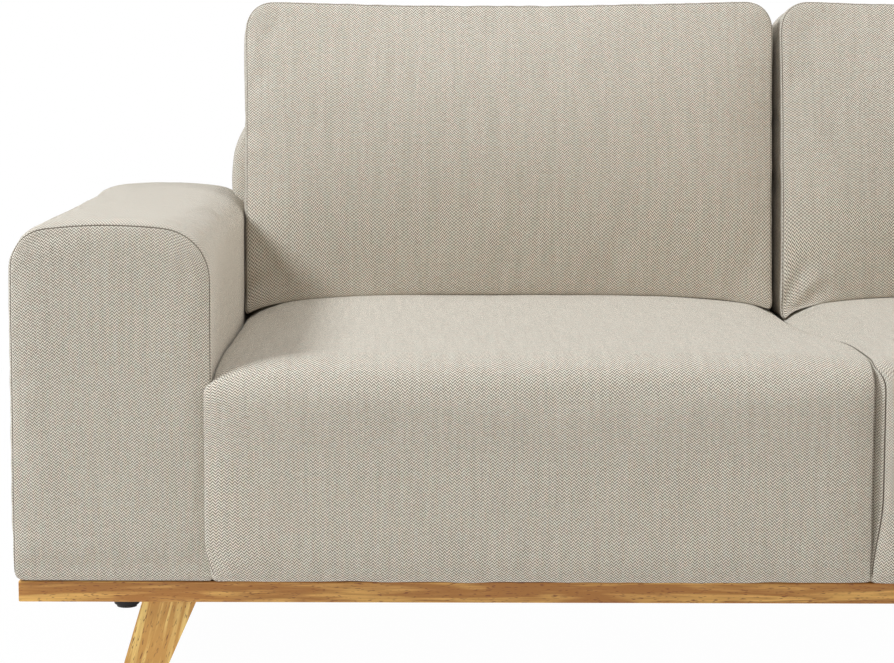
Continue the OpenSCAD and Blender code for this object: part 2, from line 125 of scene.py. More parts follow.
cool, warm = srgb("F1F8FF")[:3], srgb("FFFDF9")[:3]
for name, spot, size, watts, tint in [
    ("key_panel", (-3.6, -1.2, 3.3), 1.0, 165, cool),
    ("front_fill", (-0.8, -4.2, 1.6), 2.0, 13, warm),
    ("overhead_panel", (0.2, -0.4, 3.6), 2.6, 42, cool),
    ("right_fill", (3.4, -0.3, 1.4), 1.6, 60, warm),
    ("rear_fill", (0.6, 4.0, 2.6), 2.4, 18, cool),
]:
    lamp = bpy.data.objects.new(name, bpy.data.lights.new(name, "AREA"))
    lamp.data.shape = "SQUARE"
    lamp.data.size = size
    lamp.data.energy = watts
    lamp.data.color = tint
    lamp.location = spot
    lamp.rotation_euler = (Vector((-0.2, 0, 0.45)) - lamp.location).to_track_quat("-Z", "Y").to_euler()
    scene.collection.objects.link(lamp)


# ---- Plinth ----
# Flat rails of light rubberwood under the upholstery, mitred at the corners, stained light
# brown and sealed with satin lacquer. The grain runs along each rail.
def make_wood(name, turn, early, late, pore, streaks):
    """Lacquered hardwood whose grain runs along X once the object coordinates are turned."""
    material, tree = new_material(name)
    place = add(tree, "TexCoord")
    mm = add(tree, "Mapping", {
        "Vector": place.outputs["Object"], "Rotation": turn, "Scale": (1000, 1000, 1000)})
    # Growth rings show as long bands, about 10 mm apart and some 300 mm long.
    wander = add(tree, "Mapping", {"Vector": mm.outputs[0], "Scale": (1 / 260, 1 / 17, 1 / 17)})
    bands = add(tree, "TexNoise", {
        "Vector": wander.outputs[0], "Scale": 1.0, "Detail": 3.0, "Distortion": 0.5})
    rings = add(tree, "Math", {0: bands.outputs[0], 1: 26.0}, operation="MULTIPLY")
    rings = add(tree, "Math", {0: rings.outputs[0]}, operation="SINE")
    rings = add(tree, "MapRange", {0: rings.outputs[0], 1: -1.0, 2: 1.0})
    # Fibres are about 1 mm wide and 40 mm long.
    fibre_map = add(tree, "Mapping", {"Vector": mm.outputs[0], "Scale": (1 / 40, 1 / 1.1, 1 / 1.1)})
    fibre = add(tree, "TexNoise", {"Vector": fibre_map.outputs[0], "Scale": 1.0, "Detail": 2.0})
    # Pores are short dark dashes, 8 mm by 1 mm, drawn a little coarse so that they show.
    pore_map = add(tree, "Mapping", {"Vector": mm.outputs[0], "Scale": (1 / 8, 1 / 1.3, 1 / 1.3)})
    pores = add(tree, "TexNoise", {"Vector": pore_map.outputs[0], "Scale": 1.0, "Detail": 1.0})
    pores = add(tree, "MapRange", {0: pores.outputs[0], 1: 0.62, 2: 0.72})
    patch_map = add(tree, "Mapping", {"Vector": mm.outputs[0], "Scale": (1 / 420, 1 / 60, 1 / 60)})
    patch = add(tree, "TexNoise", {"Vector": patch_map.outputs[0], "Scale": 1.0, "Detail": 2.0})
    base_tone = 0.34 - streaks / 2  # keeps the mean tone the same, however strong the streaks are
    tone = add(tree, "Math", {0: rings.outputs[0], 1: streaks, 2: base_tone}, operation="MULTIPLY_ADD")
    tone = add(tree, "Math", {0: fibre.outputs[0], 1: 0.55, 2: tone.outputs[0]}, operation="MULTIPLY_ADD")
    tone = add(tree, "Math", {0: patch.outputs[0], 1: 0.7, 2: tone.outputs[0]}, operation="MULTIPLY_ADD")
    tone = add(tree, "MapRange", {0: tone.outputs[0], 1: 0.52, 2: 1.12})
    colour = add(tree, "Mix", {0: tone.outputs[0], 6: srgb(early), 7: srgb(late)}, data_type="RGBA")
    colour = add(tree, "Mix", {0: pores.outputs[0], 6: colour.outputs[2], 7: srgb(pore)}, data_type="RGBA")
    dent = add(tree, "Math", {0: pores.outputs[0], 1: -0.6, 2: fibre.outputs[0]}, operation="MULTIPLY_ADD")
    bump = add(tree, "Bump", {"Height": dent.outputs[0], "Strength": 0.25, "Distance": 0.0004})
    gloss = add(tree, "MapRange", {0: fibre.outputs[0], 3: 0.38, 4: 0.52})
    wood = add(tree, "BsdfPrincipled", {
        "Base Color": colour.outputs[2], "Roughness": gloss.outputs[0], "Normal": bump.outputs[0],
        "IOR": 1.5, "Coat Weight": 0.15, "Coat Roughness": 0.35,
    })
    add(tree, "OutputMaterial", {"Surface": wood.outputs[0]})
    return material


def finish_node(name, material):
    """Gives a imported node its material, in every slot."""
    for slot in nodes[name].material_slots:
        slot.material = material


def ease_edges(name, width):
    """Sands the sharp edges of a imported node. Its loose triangles are welded first."""
    weld = nodes[name].modifiers.new("weld", "WELD")
    weld.merge_threshold = 0.00001
    round_over = nodes[name].modifiers.new("sanded_edges", "BEVEL")
    round_over.width = width
    round_over.segments = 3
    round_over.limit_method = "ANGLE"
    round_over.angle_limit = math.radians(40)


along_x = (0, 0, 0)
along_y = (0, 0, math.radians(90))
plinth_long = make_wood("rubberwood_stained_long", along_x, "F4C26A", "B0742E", "84491A", 0.44)
plinth_cross = make_wood("rubberwood_stained_cross", along_y, "F4C26A", "B0742E", "84491A", 0.44)
for name, timber in [
    ("plinth_front_rail", plinth_long), ("plinth_back_rail", plinth_long),
    ("plinth_side_rail_left", plinth_cross), ("plinth_side_rail_right", plinth_cross),
    ("plinth_cross_rails", plinth_cross),
]:
    finish_node(name, timber)
    ease_edges(name, 0.0012)

# ---- Front legs ----
# Flat tapered boards of pale oak-coloured rubberwood that splay outwards. They are bolted up
# into the plinth. The grain follows the outer edge of each leg.
leg_reach, leg_height = 0.050, 0.168
splay = math.atan2(leg_reach, leg_height)
for side, sign in (("left", 1), ("right", -1)):
    turn = (0, math.radians(90) - sign * splay, 0)
    leg_wood = make_wood("rubberwood_natural_" + side, turn, "FCDA84", "CE984A", "93602A", 0.70)
    finish_node("front_leg_" + side, leg_wood)
    ease_edges("front_leg_" + side, 0.0025)

# ---- Rear feet, glides and hardware ----
# Round feet moulded in black polypropylene on the same bolts as the legs. The glides under the
# front legs are the same plastic. Bolts, tee nuts and screws are zinc-plated steel.
black_plastic, tree = new_material("polypropylene_black_moulded")
place = add(tree, "TexCoord")
# A fine spark-eroded grain, 0.6 mm across, which breaks up the highlight.
grain = add(tree, "TexNoise", {"Vector": place.outputs["Object"], "Scale": 1 / 0.0006, "Detail": 2.0})
bump = add(tree, "Bump", {"Height": grain.outputs[0], "Strength": 0.3, "Distance": 0.0001})
scuff = add(tree, "TexNoise", {"Vector": place.outputs["Object"], "Scale": 1 / 0.02, "Detail": 3.0})
gloss = add(tree, "MapRange", {0: scuff.outputs[0], 3: 0.34, 4: 0.55})
plastic = add(tree, "BsdfPrincipled", {
    "Base Color": srgb("1B1614"), "Roughness": gloss.outputs[0], "IOR": 1.49, "Normal": bump.outputs[0],
})
add(tree, "OutputMaterial", {"Surface": plastic.outputs[0]})
for name in ("rear_foot_left", "rear_foot_right", "leg_glides"):
    finish_node(name, black_plastic)

zinc, tree = new_material("steel_zinc_plated")
place = add(tree, "TexCoord")
# Zinc shows faint crystals about 3 mm across.
spangle = add(tree, "TexVoronoi", {"Vector": place.outputs["Object"], "Scale": 1 / 0.003})
gloss = add(tree, "MapRange", {0: spangle.outputs["Distance"], 3: 0.28, 4: 0.42})
steel = add(tree, "BsdfPrincipled", {
    "Base Color": srgb("C4C6C8"), "Metallic": 1.0, "Roughness": gloss.outputs[0]})
add(tree, "OutputMaterial", {"Surface": steel.outputs[0]})
for name in ("plinth_screws", "leg_bolts", "tee_nuts", "arm_bolts"):
    finish_node(name, zinc)

spring_steel, tree = new_material("steel_spring_oiled")
place = add(tree, "TexCoord")
# Drawn wire keeps a thin uneven film of oil, in patches of about 12 mm.
film = add(tree, "TexNoise", {"Vector": place.outputs["Object"], "Scale": 1 / 0.012, "Detail": 3.0})
colour = add(tree, "Mix", {0: film.outputs[0], 6: srgb("4A4A4C"), 7: srgb("77777A")}, data_type="RGBA")
steel = add(tree, "BsdfPrincipled", {"Base Color": colour.outputs[2], "Metallic": 1.0, "Roughness": 0.35})
add(tree, "OutputMaterial", {"Surface": steel.outputs[0]})
for name in ("seat_springs_left", "seat_springs_right", "spring_clips"):
    finish_node(name, spring_steel)


# ---- Felt, dust cover, webbing ----
# Grey needled felt under the rear feet and over the springs, black spun-bonded cloth stapled
# under the frame, and black elastic webbing behind the back foam.
def make_fibre(name, dark, light, size_mm, lift):
    """Matt fibre, mottled at size_mm, whose bump is lift mm high."""
    material, tree = new_material(name)
    place = add(tree, "TexCoord")
    tufts = add(tree, "TexNoise", {
        "Vector": place.outputs["Object"], "Scale": 1000 / size_mm, "Detail": 4.0})
    spread = add(tree, "MapRange", {0: tufts.outputs[0], 1: 0.3, 2: 0.7})
    colour = add(tree, "Mix", {0: spread.outputs[0], 6: srgb(dark), 7: srgb(light)}, data_type="RGBA")
    bump = add(tree, "Bump", {"Height": tufts.outputs[0], "Strength": 0.6, "Distance": lift / 1000})
    cloth = add(tree, "BsdfPrincipled", {
        "Base Color": colour.outputs[2], "Roughness": 0.95, "Sheen Weight": 0.15, "Normal": bump.outputs[0],
    })
    add(tree, "OutputMaterial", {"Surface": cloth.outputs[0]})
    return material


felt = make_fibre("felt_grey_needled", "3C3B39", "6A6864", 2.0, 1.0)
dust_cloth = make_fibre("polypropylene_spun_bonded_black", "121112", "2A292A", 3.0, 0.4)
webbing = make_fibre("webbing_elastic_black", "15140F", "2C2A25", 1.5, 0.5)
zip_tape = make_fibre("zip_tape_greige", "8F8778", "A49C8C", 1.2, 0.4)
for name, fibre in [
    ("foot_pads", felt), ("seat_felts", felt), ("dust_cover", dust_cloth), ("back_webbing", webbing),
]:
    finish_node(name, fibre)

# ---- Inner frame ----
# Sawn softwood rails and posts, and birch plywood boards, all out of sight under the covers.
softwood_long = make_wood("softwood_sawn_long", along_x, "E6CFA2", "CFAE78", "B38E58", 0.3)
softwood_cross = make_wood("softwood_sawn_cross", along_y, "E6CFA2", "CFAE78", "B38E58", 0.3)
plywood = make_wood("plywood_birch", along_y, "E0C69A", "CBA974", "A98453", 0.2)
for name in ("seat_front_rail", "seat_back_rail", "back_top_rail", "back_bottom_rail"):
    finish_node(name, softwood_long)
for name in (
    "seat_side_rail_left", "seat_side_rail_right", "seat_centre_rail", "arm_battens", "back_posts",
):
    finish_node(name, softwood_cross)
for name in nodes:
    if "_board_" in name or "_panel_" in name:
        finish_node(name, plywood)
finish_node("seat_corner_blocks", plywood)
finish_node("back_rear_board", plywood)

# ---- Upholstery cloth ----
# A greige herringbone of heathered polyester, woven from light and dark yarns. Each panel's
# own cloth coordinates are in metres, so the zigzag runs straight across every panel.
weave, tree = new_material("polyester_herringbone_greige")
zigzag_mm = 5.6  # one zig and one zag across, drawn a tenth coarser so that it shows
rib_mm = 3.7  # one light and one dark rib
cloth_map = add(tree, "UVMap", uv_map="cloth")
mm = add(tree, "VectorMath", {0: cloth_map.outputs[0], 1: (1000, 1000, 1000)}, operation="MULTIPLY")
# Yarns wander by a third of a millimetre, so the ribs aren't ruled lines.
wander = add(tree, "TexNoise", {"Vector": mm.outputs[0], "Scale": 1 / 14, "Detail": 2.0})
axes = add(tree, "SeparateXYZ", {0: mm.outputs[0]})
sway = add(tree, "Math", {0: wander.outputs[0], 1: 1.3, 2: axes.outputs[1]}, operation="MULTIPLY_ADD")
zig = add(tree, "Math", {0: axes.outputs[0], 1: zigzag_mm / 2}, operation="PINGPONG")
# Each rib climbs by one rib's width from zig to zag, so the diagonals meet in upright columns.
steep = 2 * rib_mm / zigzag_mm
climb = add(tree, "Math", {0: zig.outputs[0], 1: steep, 2: sway.outputs[0]}, operation="MULTIPLY_ADD")
turns = add(tree, "Math", {0: climb.outputs[0], 1: 2 * math.pi / rib_mm}, operation="MULTIPLY")
rib = add(tree, "Math", {0: turns.outputs[0]}, operation="SINE")
rib = add(tree, "MapRange", {0: rib.outputs[0], 1: -0.6, 2: 0.6})
# Single yarns differ in shade, about every 2 mm across and 6 mm along the warp.
yarn_map = add(tree, "Mapping", {"Vector": mm.outputs[0], "Scale": (1 / 2.2, 1 / 5.5, 1)})
yarn = add(tree, "TexNoise", {"Vector": yarn_map.outputs[0], "Scale": 1.0, "Detail": 2.0})
yarn = add(tree, "MapRange", {0: yarn.outputs[0], 1: 0.3, 2: 0.7})
# Slubs run as upright streaks, 6 mm wide and 90 mm long.
slub_map = add(tree, "Mapping", {"Vector": mm.outputs[0], "Scale": (1 / 6, 1 / 90, 1)})
slub = add(tree, "TexNoise", {"Vector": slub_map.outputs[0], "Scale": 1.0, "Detail": 3.0})
slub = add(tree, "MapRange", {0: slub.outputs[0], 1: 0.32, 2: 0.68})
tone = add(tree, "Math", {0: rib.outputs[0], 1: 0.80}, operation="MULTIPLY")
tone = add(tree, "Math", {0: yarn.outputs[0], 1: 0.14, 2: tone.outputs[0]}, operation="MULTIPLY_ADD")
tone = add(tree, "Math", {0: slub.outputs[0], 1: 0.06, 2: tone.outputs[0]}, operation="MULTIPLY_ADD")
colour = add(tree, "Mix", {0: tone.outputs[0], 6: srgb("635A4E"), 7: srgb("FCF6EC")}, data_type="RGBA")
# Some yarns lean warm and some cool, in flecks of about 10 mm.
fleck = add(tree, "TexNoise", {"Vector": mm.outputs[0], "Scale": 1 / 10, "Detail": 3.0})
fleck = add(tree, "MapRange", {0: fleck.outputs[0], 1: 0.35, 2: 0.65})
tint = add(tree, "Mix", {0: fleck.outputs[0], 6: srgb("FFF9F3"), 7: srgb("FBFCF7")}, data_type="RGBA")
colour = add(
    tree, "Mix", {0: 1.0, 6: colour.outputs[2], 7: tint.outputs[2]},
    data_type="RGBA", blend_type="MULTIPLY")
bump = add(tree, "Bump", {"Height": tone.outputs[0], "Strength": 0.5, "Distance": 0.0006})
cloth = add(tree, "BsdfPrincipled", {
    "Base Color": colour.outputs[2], "Roughness": 0.92, "Sheen Weight": 0.12, "Sheen Roughness": 0.5,
    "IOR": 1.45, "Specular IOR Level": 0.3, "Normal": bump.outputs[0],
})
add(tree, "OutputMaterial", {"Surface": cloth.outputs[0]})

# Sewing thread is a twisted polyester, darker than the cloth. The same material lines the fold of each
# seam, where its darker colour is partly the thread and partly painted shade of the seam's crease.
thread_and_seam_shade = make_fibre("polyester_thread_taupe_and_seam_shade", "665C50", "8E8475", 1.0, 0.2)

# ---- Seats ----
# Each seat is one cover over foam and springs. Its front and top are a single piece of cloth
# that rolls over the front rail, sewn to a gusset at each side and stapled to the plinth.
LEFT, RIGHT, FRONT, REAR, BOTTOM, TOP = range(6)


def ramp(value, start, end):
    """0 before start, 1 after end, and a smooth climb between."""
    t = min(1.0, max(0.0, (value - start) / (end - start)))
    return t * t * (3 - 2 * t)


def bow(across):
    """0 in the middle of a stuffed panel and 1 at its seams, flat for most of the way."""
    return 1 - math.sqrt(max(0.0, 1 - across ** 4))


def cut_block(low, high, cell):
    """A closed block cut into squares of about one cell. Its faces remember their side."""
    bm = bmesh.new()
    bmesh.ops.create_cube(bm, size=1)
    bmesh.ops.scale(bm, vec=[b - a for a, b in zip(low, high)], verts=bm.verts)
    bmesh.ops.translate(bm, vec=[(a + b) / 2 for a, b in zip(low, high)], verts=bm.verts)
    side = bm.faces.layers.int.new("side")
    bm.normal_update()
    for face in bm.faces:
        axis = max(range(3), key=lambda a: abs(face.normal[a]))
        face[side] = 2 * axis + (face.normal[axis] > 0)
    for axis in range(3):
        along = [e for e in bm.edges if abs(e.verts[0].co[axis] - e.verts[1].co[axis]) > cell]
        cuts = max(1, round((high[axis] - low[axis]) / cell) - 1)
        bmesh.ops.subdivide_edges(bm, edges=along, cuts=cuts, use_grid_fill=True)
    return bm, side


def round_edge(bm, a, b, corner, outward, radius):
    """Rounds the block's edge that stands square to axes a and b. outward is the corner's direction,
    and radius gives the radius at a point."""
    for vert in bm.verts:
        here = radius(vert.co)
        da = (vert.co[a] - corner[0]) * outward[0] + here
        db = (vert.co[b] - corner[1]) * outward[1] + here
        if da > 0 and db > 0:
            keep = max(da, db) / math.hypot(da, db)
            vert.co[a] = corner[0] + outward[0] * (da * keep - here)
            vert.co[b] = corner[1] + outward[1] * (db * keep - here)


def turned(run, corner, radius):
    """How far along the cloth a point lies, when cloth that runs along two sides of a block is
    laid round the rounded edge between them."""
    before = run - corner
    if before <= -radius:
        return run
    if before >= radius:
        return run - 2 * radius + radius * math.pi / 2
    angle = math.atan((before + radius) / radius)
    if before > 0:
        angle = math.pi / 2 - math.atan((radius - before) / radius)
    return corner - radius + radius * angle


def lay_cloth(bm, side, run):
    """Gives every face its cloth coordinates. run gives a point's place on its own panel."""
    cloth = bm.loops.layers.uv.new("cloth")
    for face in bm.faces:
        for loop in face.loops:
            loop[cloth].uv = run(face[side], loop.vert.co)


def mark_seams(bm, side, pairs):
    """Marks each edge where two panels meet as a seam, if their sides are one of the pairs."""
    for edge in bm.edges:
        met = {face[side] for face in edge.link_faces}
        edge.seam = any(met == set(pair) for pair in pairs)


def make_piece(name, bm):
    """An upholstered piece from a finished block. Its second material lines the seams with the thread's
    colour and painted crease shade.
    """
    mesh = bpy.data.meshes.new(name)
    bm.to_mesh(mesh)
    bm.free()
    mesh.materials.append(weave)
    mesh.materials.append(thread_and_seam_shade)
    piece = bpy.data.objects.new(name, mesh)
    scene.collection.objects.link(piece)
    return piece


def stuff(piece, pressure, reach, slack, held=lambda co: False):
    """Swells the piece as stuffed cloth, cut larger by the share slack. No point moves further than
    reach. The seams stay, and so do the points that held picks."""
    rest = [v.co.copy() for v in piece.data.vertices]
    pins = {i for i, co in enumerate(rest) if held(co)}
    pins |= {i for edge in piece.data.edges if edge.use_seam for i in edge.vertices}
    group = piece.vertex_groups.new(name="held")
    group.add(list(pins), 1.0, "REPLACE")
    swell = piece.modifiers.new("swell", "CLOTH")
    swell.settings.quality = 6
    swell.settings.mass = 0.25
    swell.settings.tension_stiffness = 18
    swell.settings.compression_stiffness = 18
    swell.settings.shear_stiffness = 8
    swell.settings.bending_stiffness = 0.4
    swell.settings.shrink_min = -slack
    swell.settings.use_pressure = True
    swell.settings.uniform_pressure_force = pressure
    swell.settings.effector_weights.gravity = 0
    swell.settings.vertex_group_mass = "held"
    last = 20
    swell.point_cache.frame_start = 1
    swell.point_cache.frame_end = last
    for number in range(1, last + 1):
        scene.frame_set(number)
    swollen = piece.evaluated_get(bpy.context.evaluated_depsgraph_get()).data
    moved = [v.co.copy() for v in swollen.vertices]
    piece.modifiers.remove(swell)
    piece.vertex_groups.remove(group)
    for vert, start, end in zip(piece.data.vertices, rest, moved):
        step = end - start
        vert.co = start + step * min(1.0, reach / max(step.length, 1e-9))
    scene.frame_set(1)


def fit(piece, axis, low, high):
    """Stretches the piece along one axis, so that it fills its place from low to high."""
    places = [v.co[axis] for v in piece.data.vertices]
    start, stretch = min(places), (high - low) / (max(places) - min(places))
    for vert in piece.data.vertices:
        vert.co[axis] = low + (vert.co[axis] - start) * stretch


def rumple(piece, height):
    """Adds the slow unevenness of a cover fitted by hand, at most about height each way."""
    normals = [v.normal.copy() for v in piece.data.vertices]
    for vert, normal in zip(piece.data.vertices, normals):
        vert.co += normal * height * (noise.noise(vert.co * 6) + 0.5 * noise.noise(vert.co * 15))


def sew(piece, width, depth):
    """Rolls each marked edge over by width and folds a seam into the middle of it. The strip along the fold
    takes the darker thread material, partly painted shade of the crease. Returns the fold's edges as point
    pairs."""
    bm = bmesh.new()
    bm.from_mesh(piece.data)
    crease = bm.edges.layers.float.new("crease_edge")
    line = [e for e in bm.edges if e.seam]
    for edge in line:
        edge.seam = False
    for offset in (width, 0.0005):
        cut = bmesh.ops.bevel(
            bm, geom=line, offset=offset, offset_type="OFFSET", affect="EDGES",
            segments=2, profile=0.5, material=-1, loop_slide=True)
        strip = set(cut["faces"])
        inside = {v for v in cut["verts"] if all(face in strip for face in v.link_faces)}
        line = [e for e in bm.edges if e.verts[0] in inside and e.verts[1] in inside]
    # The strip beside the fold takes the darker thread material: painted shade of the seam's crease, with
    # the thread's own colour.
    for face in strip:
        face.material_index = 1
    for edge in line:
        edge[crease] = 0.7
    bm.normal_update()
    for vert in inside:
        vert.co -= vert.normal * depth
    fold = [tuple(v.co + v.normal * 0.001 for v in e.verts) for e in line]
    bm.to_mesh(piece.data)
    bm.free()
    return fold


def stitch(name, fold, body):
    """Short raised stitches along a seam's fold, as one piece."""
    pitch = 0.004
    mesh = bpy.data.meshes.new(name)
    whole = bmesh.new()
    for first in range(0, len(fold), 24):
        # A few at a time, because each operator walks through all that the bmesh holds.
        few = bmesh.new()
        for start, end in fold[first:first + 24]:
            run = end - start
            count = max(1, round(run.length / pitch))
            turn = run.to_track_quat("Z", "Y").to_matrix().to_4x4()
            for i in range(count):
                place = Matrix.Translation(start + run * (i + 0.5) / count) @ turn
                bmesh.ops.create_cone(
                    few, cap_ends=True, segments=5, radius1=0.0006, radius2=0.0006,
                    depth=pitch * 0.6, matrix=place)
        few.to_mesh(mesh)
        few.free()
        whole.from_mesh(mesh)
    whole.to_mesh(mesh)
    whole.free()
    mesh.materials.append(thread_and_seam_shade)
    piece = bpy.data.objects.new(name, mesh)
    scene.collection.objects.link(piece)
    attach(piece, body)


def smooth_piece(piece):
    """Rounds a finished piece's facets."""
    finer = piece.modifiers.new("smooth", "SUBSURF")
    finer.levels = 1
    finer.render_levels = 1
    piece.data.polygons.foreach_set("use_smooth", [True] * len(piece.data.polygons))


seat_roll = 0.042
seat_drop = 0.036  # from the crown down to the side seams, where the cushions stand
front_bow = 0.007  # from the middle of the front back to its side seams
seat_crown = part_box("seat_cover_left")[1].z - 0.003
fade_foot = 0.34  # height at which the crown's fall has faded out down the front and sides
for side_name, sign in (("left", -1), ("right", 1)):
    low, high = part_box("seat_cover_" + side_name)
    bm, side = cut_block(low, (high.x, high.y, seat_crown), 0.012)
    mark_seams(bm, side, [(LEFT, TOP), (RIGHT, TOP), (LEFT, FRONT), (RIGHT, FRONT)])

    def seat_run(panel, co):
        if panel in (LEFT, RIGHT):
            return co.y, co.z
        if panel == TOP:
            return co.x, turned(seat_crown + co.y - low.y, seat_crown, seat_roll)
        return co.x, turned(co.z, seat_crown, seat_roll)

    lay_cloth(bm, side, seat_run)
    middle = (low.x + high.x) / 2
    half = (high.x - low.x) / 2
    for vert in bm.verts:
        sunk = front_bow * bow((vert.co.x - middle) / half)
        vert.co.z = low.z + (vert.co.z - low.z) * (1 - sunk / (seat_crown - low.z))
        vert.co.y = high.y - (high.y - vert.co.y) * (1 - sunk / (high.y - low.y))
        # The hem rides up a little between its staples.
        hem = ramp(-vert.co.z, -low.z - 0.004, -low.z) * ramp(-vert.co.y, -low.y - 0.03, -low.y - 0.01)
        vert.co.z += 0.002 * hem * (1 + noise.noise(Vector((vert.co.x * 22, 0, sign))))
    round_edge(bm, 1, 2, (low.y, seat_crown), (-1, 1), lambda co: seat_roll)
    for vert in bm.verts:
        across = (vert.co.x - middle) / half
        # The seams fall less at the front, and there least of all between the two seats.
        ahead = ramp(-vert.co.y, -0.15, 0.38)
        drop = seat_drop - ahead * (seat_drop - (0.022 if sign * across > 0 else 0.004))
        vert.co.z -= (drop - front_bow) * bow(across) * ramp(vert.co.z, fade_foot, seat_crown - 0.01)
        # The crown starts to fall well behind the roll.
        vert.co.z -= 0.007 * ramp(-vert.co.y, 0.20, 0.42) * ramp(vert.co.z, fade_foot, seat_crown - 0.03)
    seat = make_piece("seat_upholstery_" + side_name, bm)
    stuff(seat, 2.5, 0.003, 0.006,
          lambda co: co.z < 0.22 or co.y > 0.27 or abs(co.x - middle) > half - 0.004)
    fit(seat, 0, *((low.x, 0.0) if sign < 0 else (0.0, high.x)))
    fit(seat, 2, low.z, seat_crown)
    for vert in seat.data.vertices:
        across = (vert.co.x - middle) / half
        side_share = min(1.0, abs(across)) ** 10
        front = -vert.co.y
        if sign * across > 0:
            # The front bulges past the arm. Low down its seam turns in and bares the gusset.
            shift = 0.0125 * ramp(front, 0.397, 0.407)
            shift -= 0.014 * ramp(-vert.co.z, -0.25, -0.2) ** 1.5 * ramp(front, 0.404, 0.412)
        elif sign > 0:
            # The right seat's gusset swells past its seam, and the left seat's seam rests on it.
            shift = -0.012 * ramp(front, 0.399, 0.412) * ramp(vert.co.z, 0.2, 0.3)
        else:
            shift = 0.001 * ramp(front, 0.399, 0.412)
        vert.co.x += math.copysign(1, across) * shift * side_share
    rumple(seat, 0.0012)
    fold = sew(seat, 0.0035, 0.003)
    smooth_piece(seat)
    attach(seat, "sofa")
    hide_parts("seat_cover_" + side_name, "seat_foam_" + side_name)
    stitch("seat_stitching_" + side_name, fold, "sofa")

# ---- Arms ----
# A board frame wrapped in foam. One strip of cloth runs up the outside, over the top and down
# the inside. It is sewn to a flat front panel and a rear panel.
arm_outer_roll = 0.033  # the cloth is laid out over these mean radii
arm_inner_roll = 0.040
front_lap = 0.016  # how far back the strip rolls over to the front seam
for side_name, sign in (("left", -1), ("right", 1)):
    low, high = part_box("arm_cover_" + side_name)
    bm, side = cut_block(low, high, 0.011)
    mark_seams(bm, side, [(a, b) for a in (LEFT, RIGHT, TOP) for b in (FRONT, REAR)])
    outer, inner = (low.x, high.x) if sign < 0 else (high.x, low.x)
    wide = high.x - low.x

    def arm_run(panel, co):
        if panel in (FRONT, REAR):
            return co.x, co.z
        run = co.z
        if panel == TOP:
            run = high.z + abs(co.x - outer)
        elif abs(co.x - inner) < 0.001:
            run = 2 * high.z + wide - co.z
        return co.y, turned(turned(run, high.z + wide, arm_inner_roll), high.z, arm_outer_roll)

    lay_cloth(bm, side, arm_run)
    # The rolls are slacker at the front panel and tighten behind it.
    behind = low.y + 0.16
    round_edge(bm, 0, 2, (outer, high.z), (sign, 1), lambda co: 0.040 - 0.012 * ramp(co.y, low.y, behind))
    round_edge(bm, 0, 2, (inner, high.z), (-sign, 1), lambda co: 0.054 - 0.022 * ramp(co.y, low.y, behind))
    round_edge(bm, 0, 2, (outer, low.z), (sign, -1), lambda co: 0.010)
    # The rear corner stays slack enough to clear the board inside it.
    round_edge(bm, 0, 1, (outer, high.y), (sign, 1), lambda co: 0.020)
    round_edge(bm, 0, 1, (inner, high.y), (-sign, 1), lambda co: 0.022)
    round_edge(bm, 1, 2, (high.y, high.z), (1, 1), lambda co: 0.045)
    middle = (low.x + high.x) / 2
    for vert in bm.verts:
        inward = -sign * (vert.co.x - middle) / (wide / 2)
        # The top is crowned, and falls a little towards the seat.
        drop = 0.0110 * inward ** 2 + 0.0010 * inward + 0.0005
        # The strip stands proud of the front seam, and rolls over to it.
        near = max(0.0, 1 - (vert.co.y - low.y) / front_lap) ** 2
        drop += 0.004 * near
        vert.co.z = low.z + (vert.co.z - low.z) * (1 - drop / (high.z - low.z))
        vert.co.x -= math.copysign(0.001 * near * abs(inward), -sign * inward)
    arm = make_piece("arm_upholstery_" + side_name, bm)
    stuff(arm, 2.5, 0.004, 0.008, lambda co: co.z < 0.22 or abs(co.x - inner) < 0.004)
    fit(arm, 0, low.x, high.x)
    fit(arm, 2, low.z, high.z)
    rumple(arm, 0.0009)
    fold = sew(arm, 0.003, 0.0022)
    smooth_piece(arm)
    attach(arm, "sofa")
    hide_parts("arm_cover_" + side_name, "arm_foam_" + side_name)
    stitch("arm_stitching_" + side_name, fold, "sofa")

# ---- Back ----
# A webbed frame padded with foam and covered all round. Its shoulders step out over the arms,
# and the outside back is a flat panel sewn in along its edge.
low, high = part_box("back_cover")
arm_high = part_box("arm_cover_left")[1]
neck = -arm_high.x - 0.002
rear_foot = 0.392
deck = 0.334
rake = math.radians(7.476)
lean = math.tan(rake)
wall_foot = low.y


def wall(z):
    """How far back the back's front face is at height z."""
    return wall_foot + max(0.0, z - deck) * lean


pad = 0.1
shoulder = 0.095
bm, side = cut_block((low.x, 0.0, low.z), (high.x, pad, high.z), 0.014)
mark_seams(bm, side, [(REAR, a) for a in (LEFT, RIGHT, TOP)])
lay_cloth(bm, side, lambda panel, co: (co.y, co.z) if panel in (LEFT, RIGHT) else (
    (co.x, high.z + co.y) if panel == TOP else (co.x, co.z)))
round_edge(bm, 0, 2, (low.x, high.z), (-1, 1), lambda co: shoulder)
round_edge(bm, 0, 2, (high.x, high.z), (1, 1), lambda co: shoulder)
crest = 0.035
for vert in bm.verts:
    z = vert.co.z
    # Below the arms' tops the back is as wide as the space between them.
    narrow = (high.x - neck) * ramp(-z, -arm_high.z + 0.02, -arm_high.z + 0.06)
    vert.co.x -= math.copysign(narrow * (abs(vert.co.x) / high.x) ** 8, vert.co.x)
    rear = rear_foot + (z - low.z) * (high.y - rear_foot) / (high.z - crest - low.z)
    over = 1 - math.sqrt(max(0.0, 1 - max(0.0, (z - high.z + crest) / crest) ** 2))
    half = (rear - wall(z)) / 2
    vert.co.y = (wall(z) + rear) / 2 + (2 * vert.co.y / pad - 1) * half * (1 - 0.9 * over)
    vert.co.y = min(vert.co.y, high.y)
back = make_piece("back_upholstery", bm)
stuff(back, 2.5, 0.006, 0.010, lambda co: co.z < 0.24)
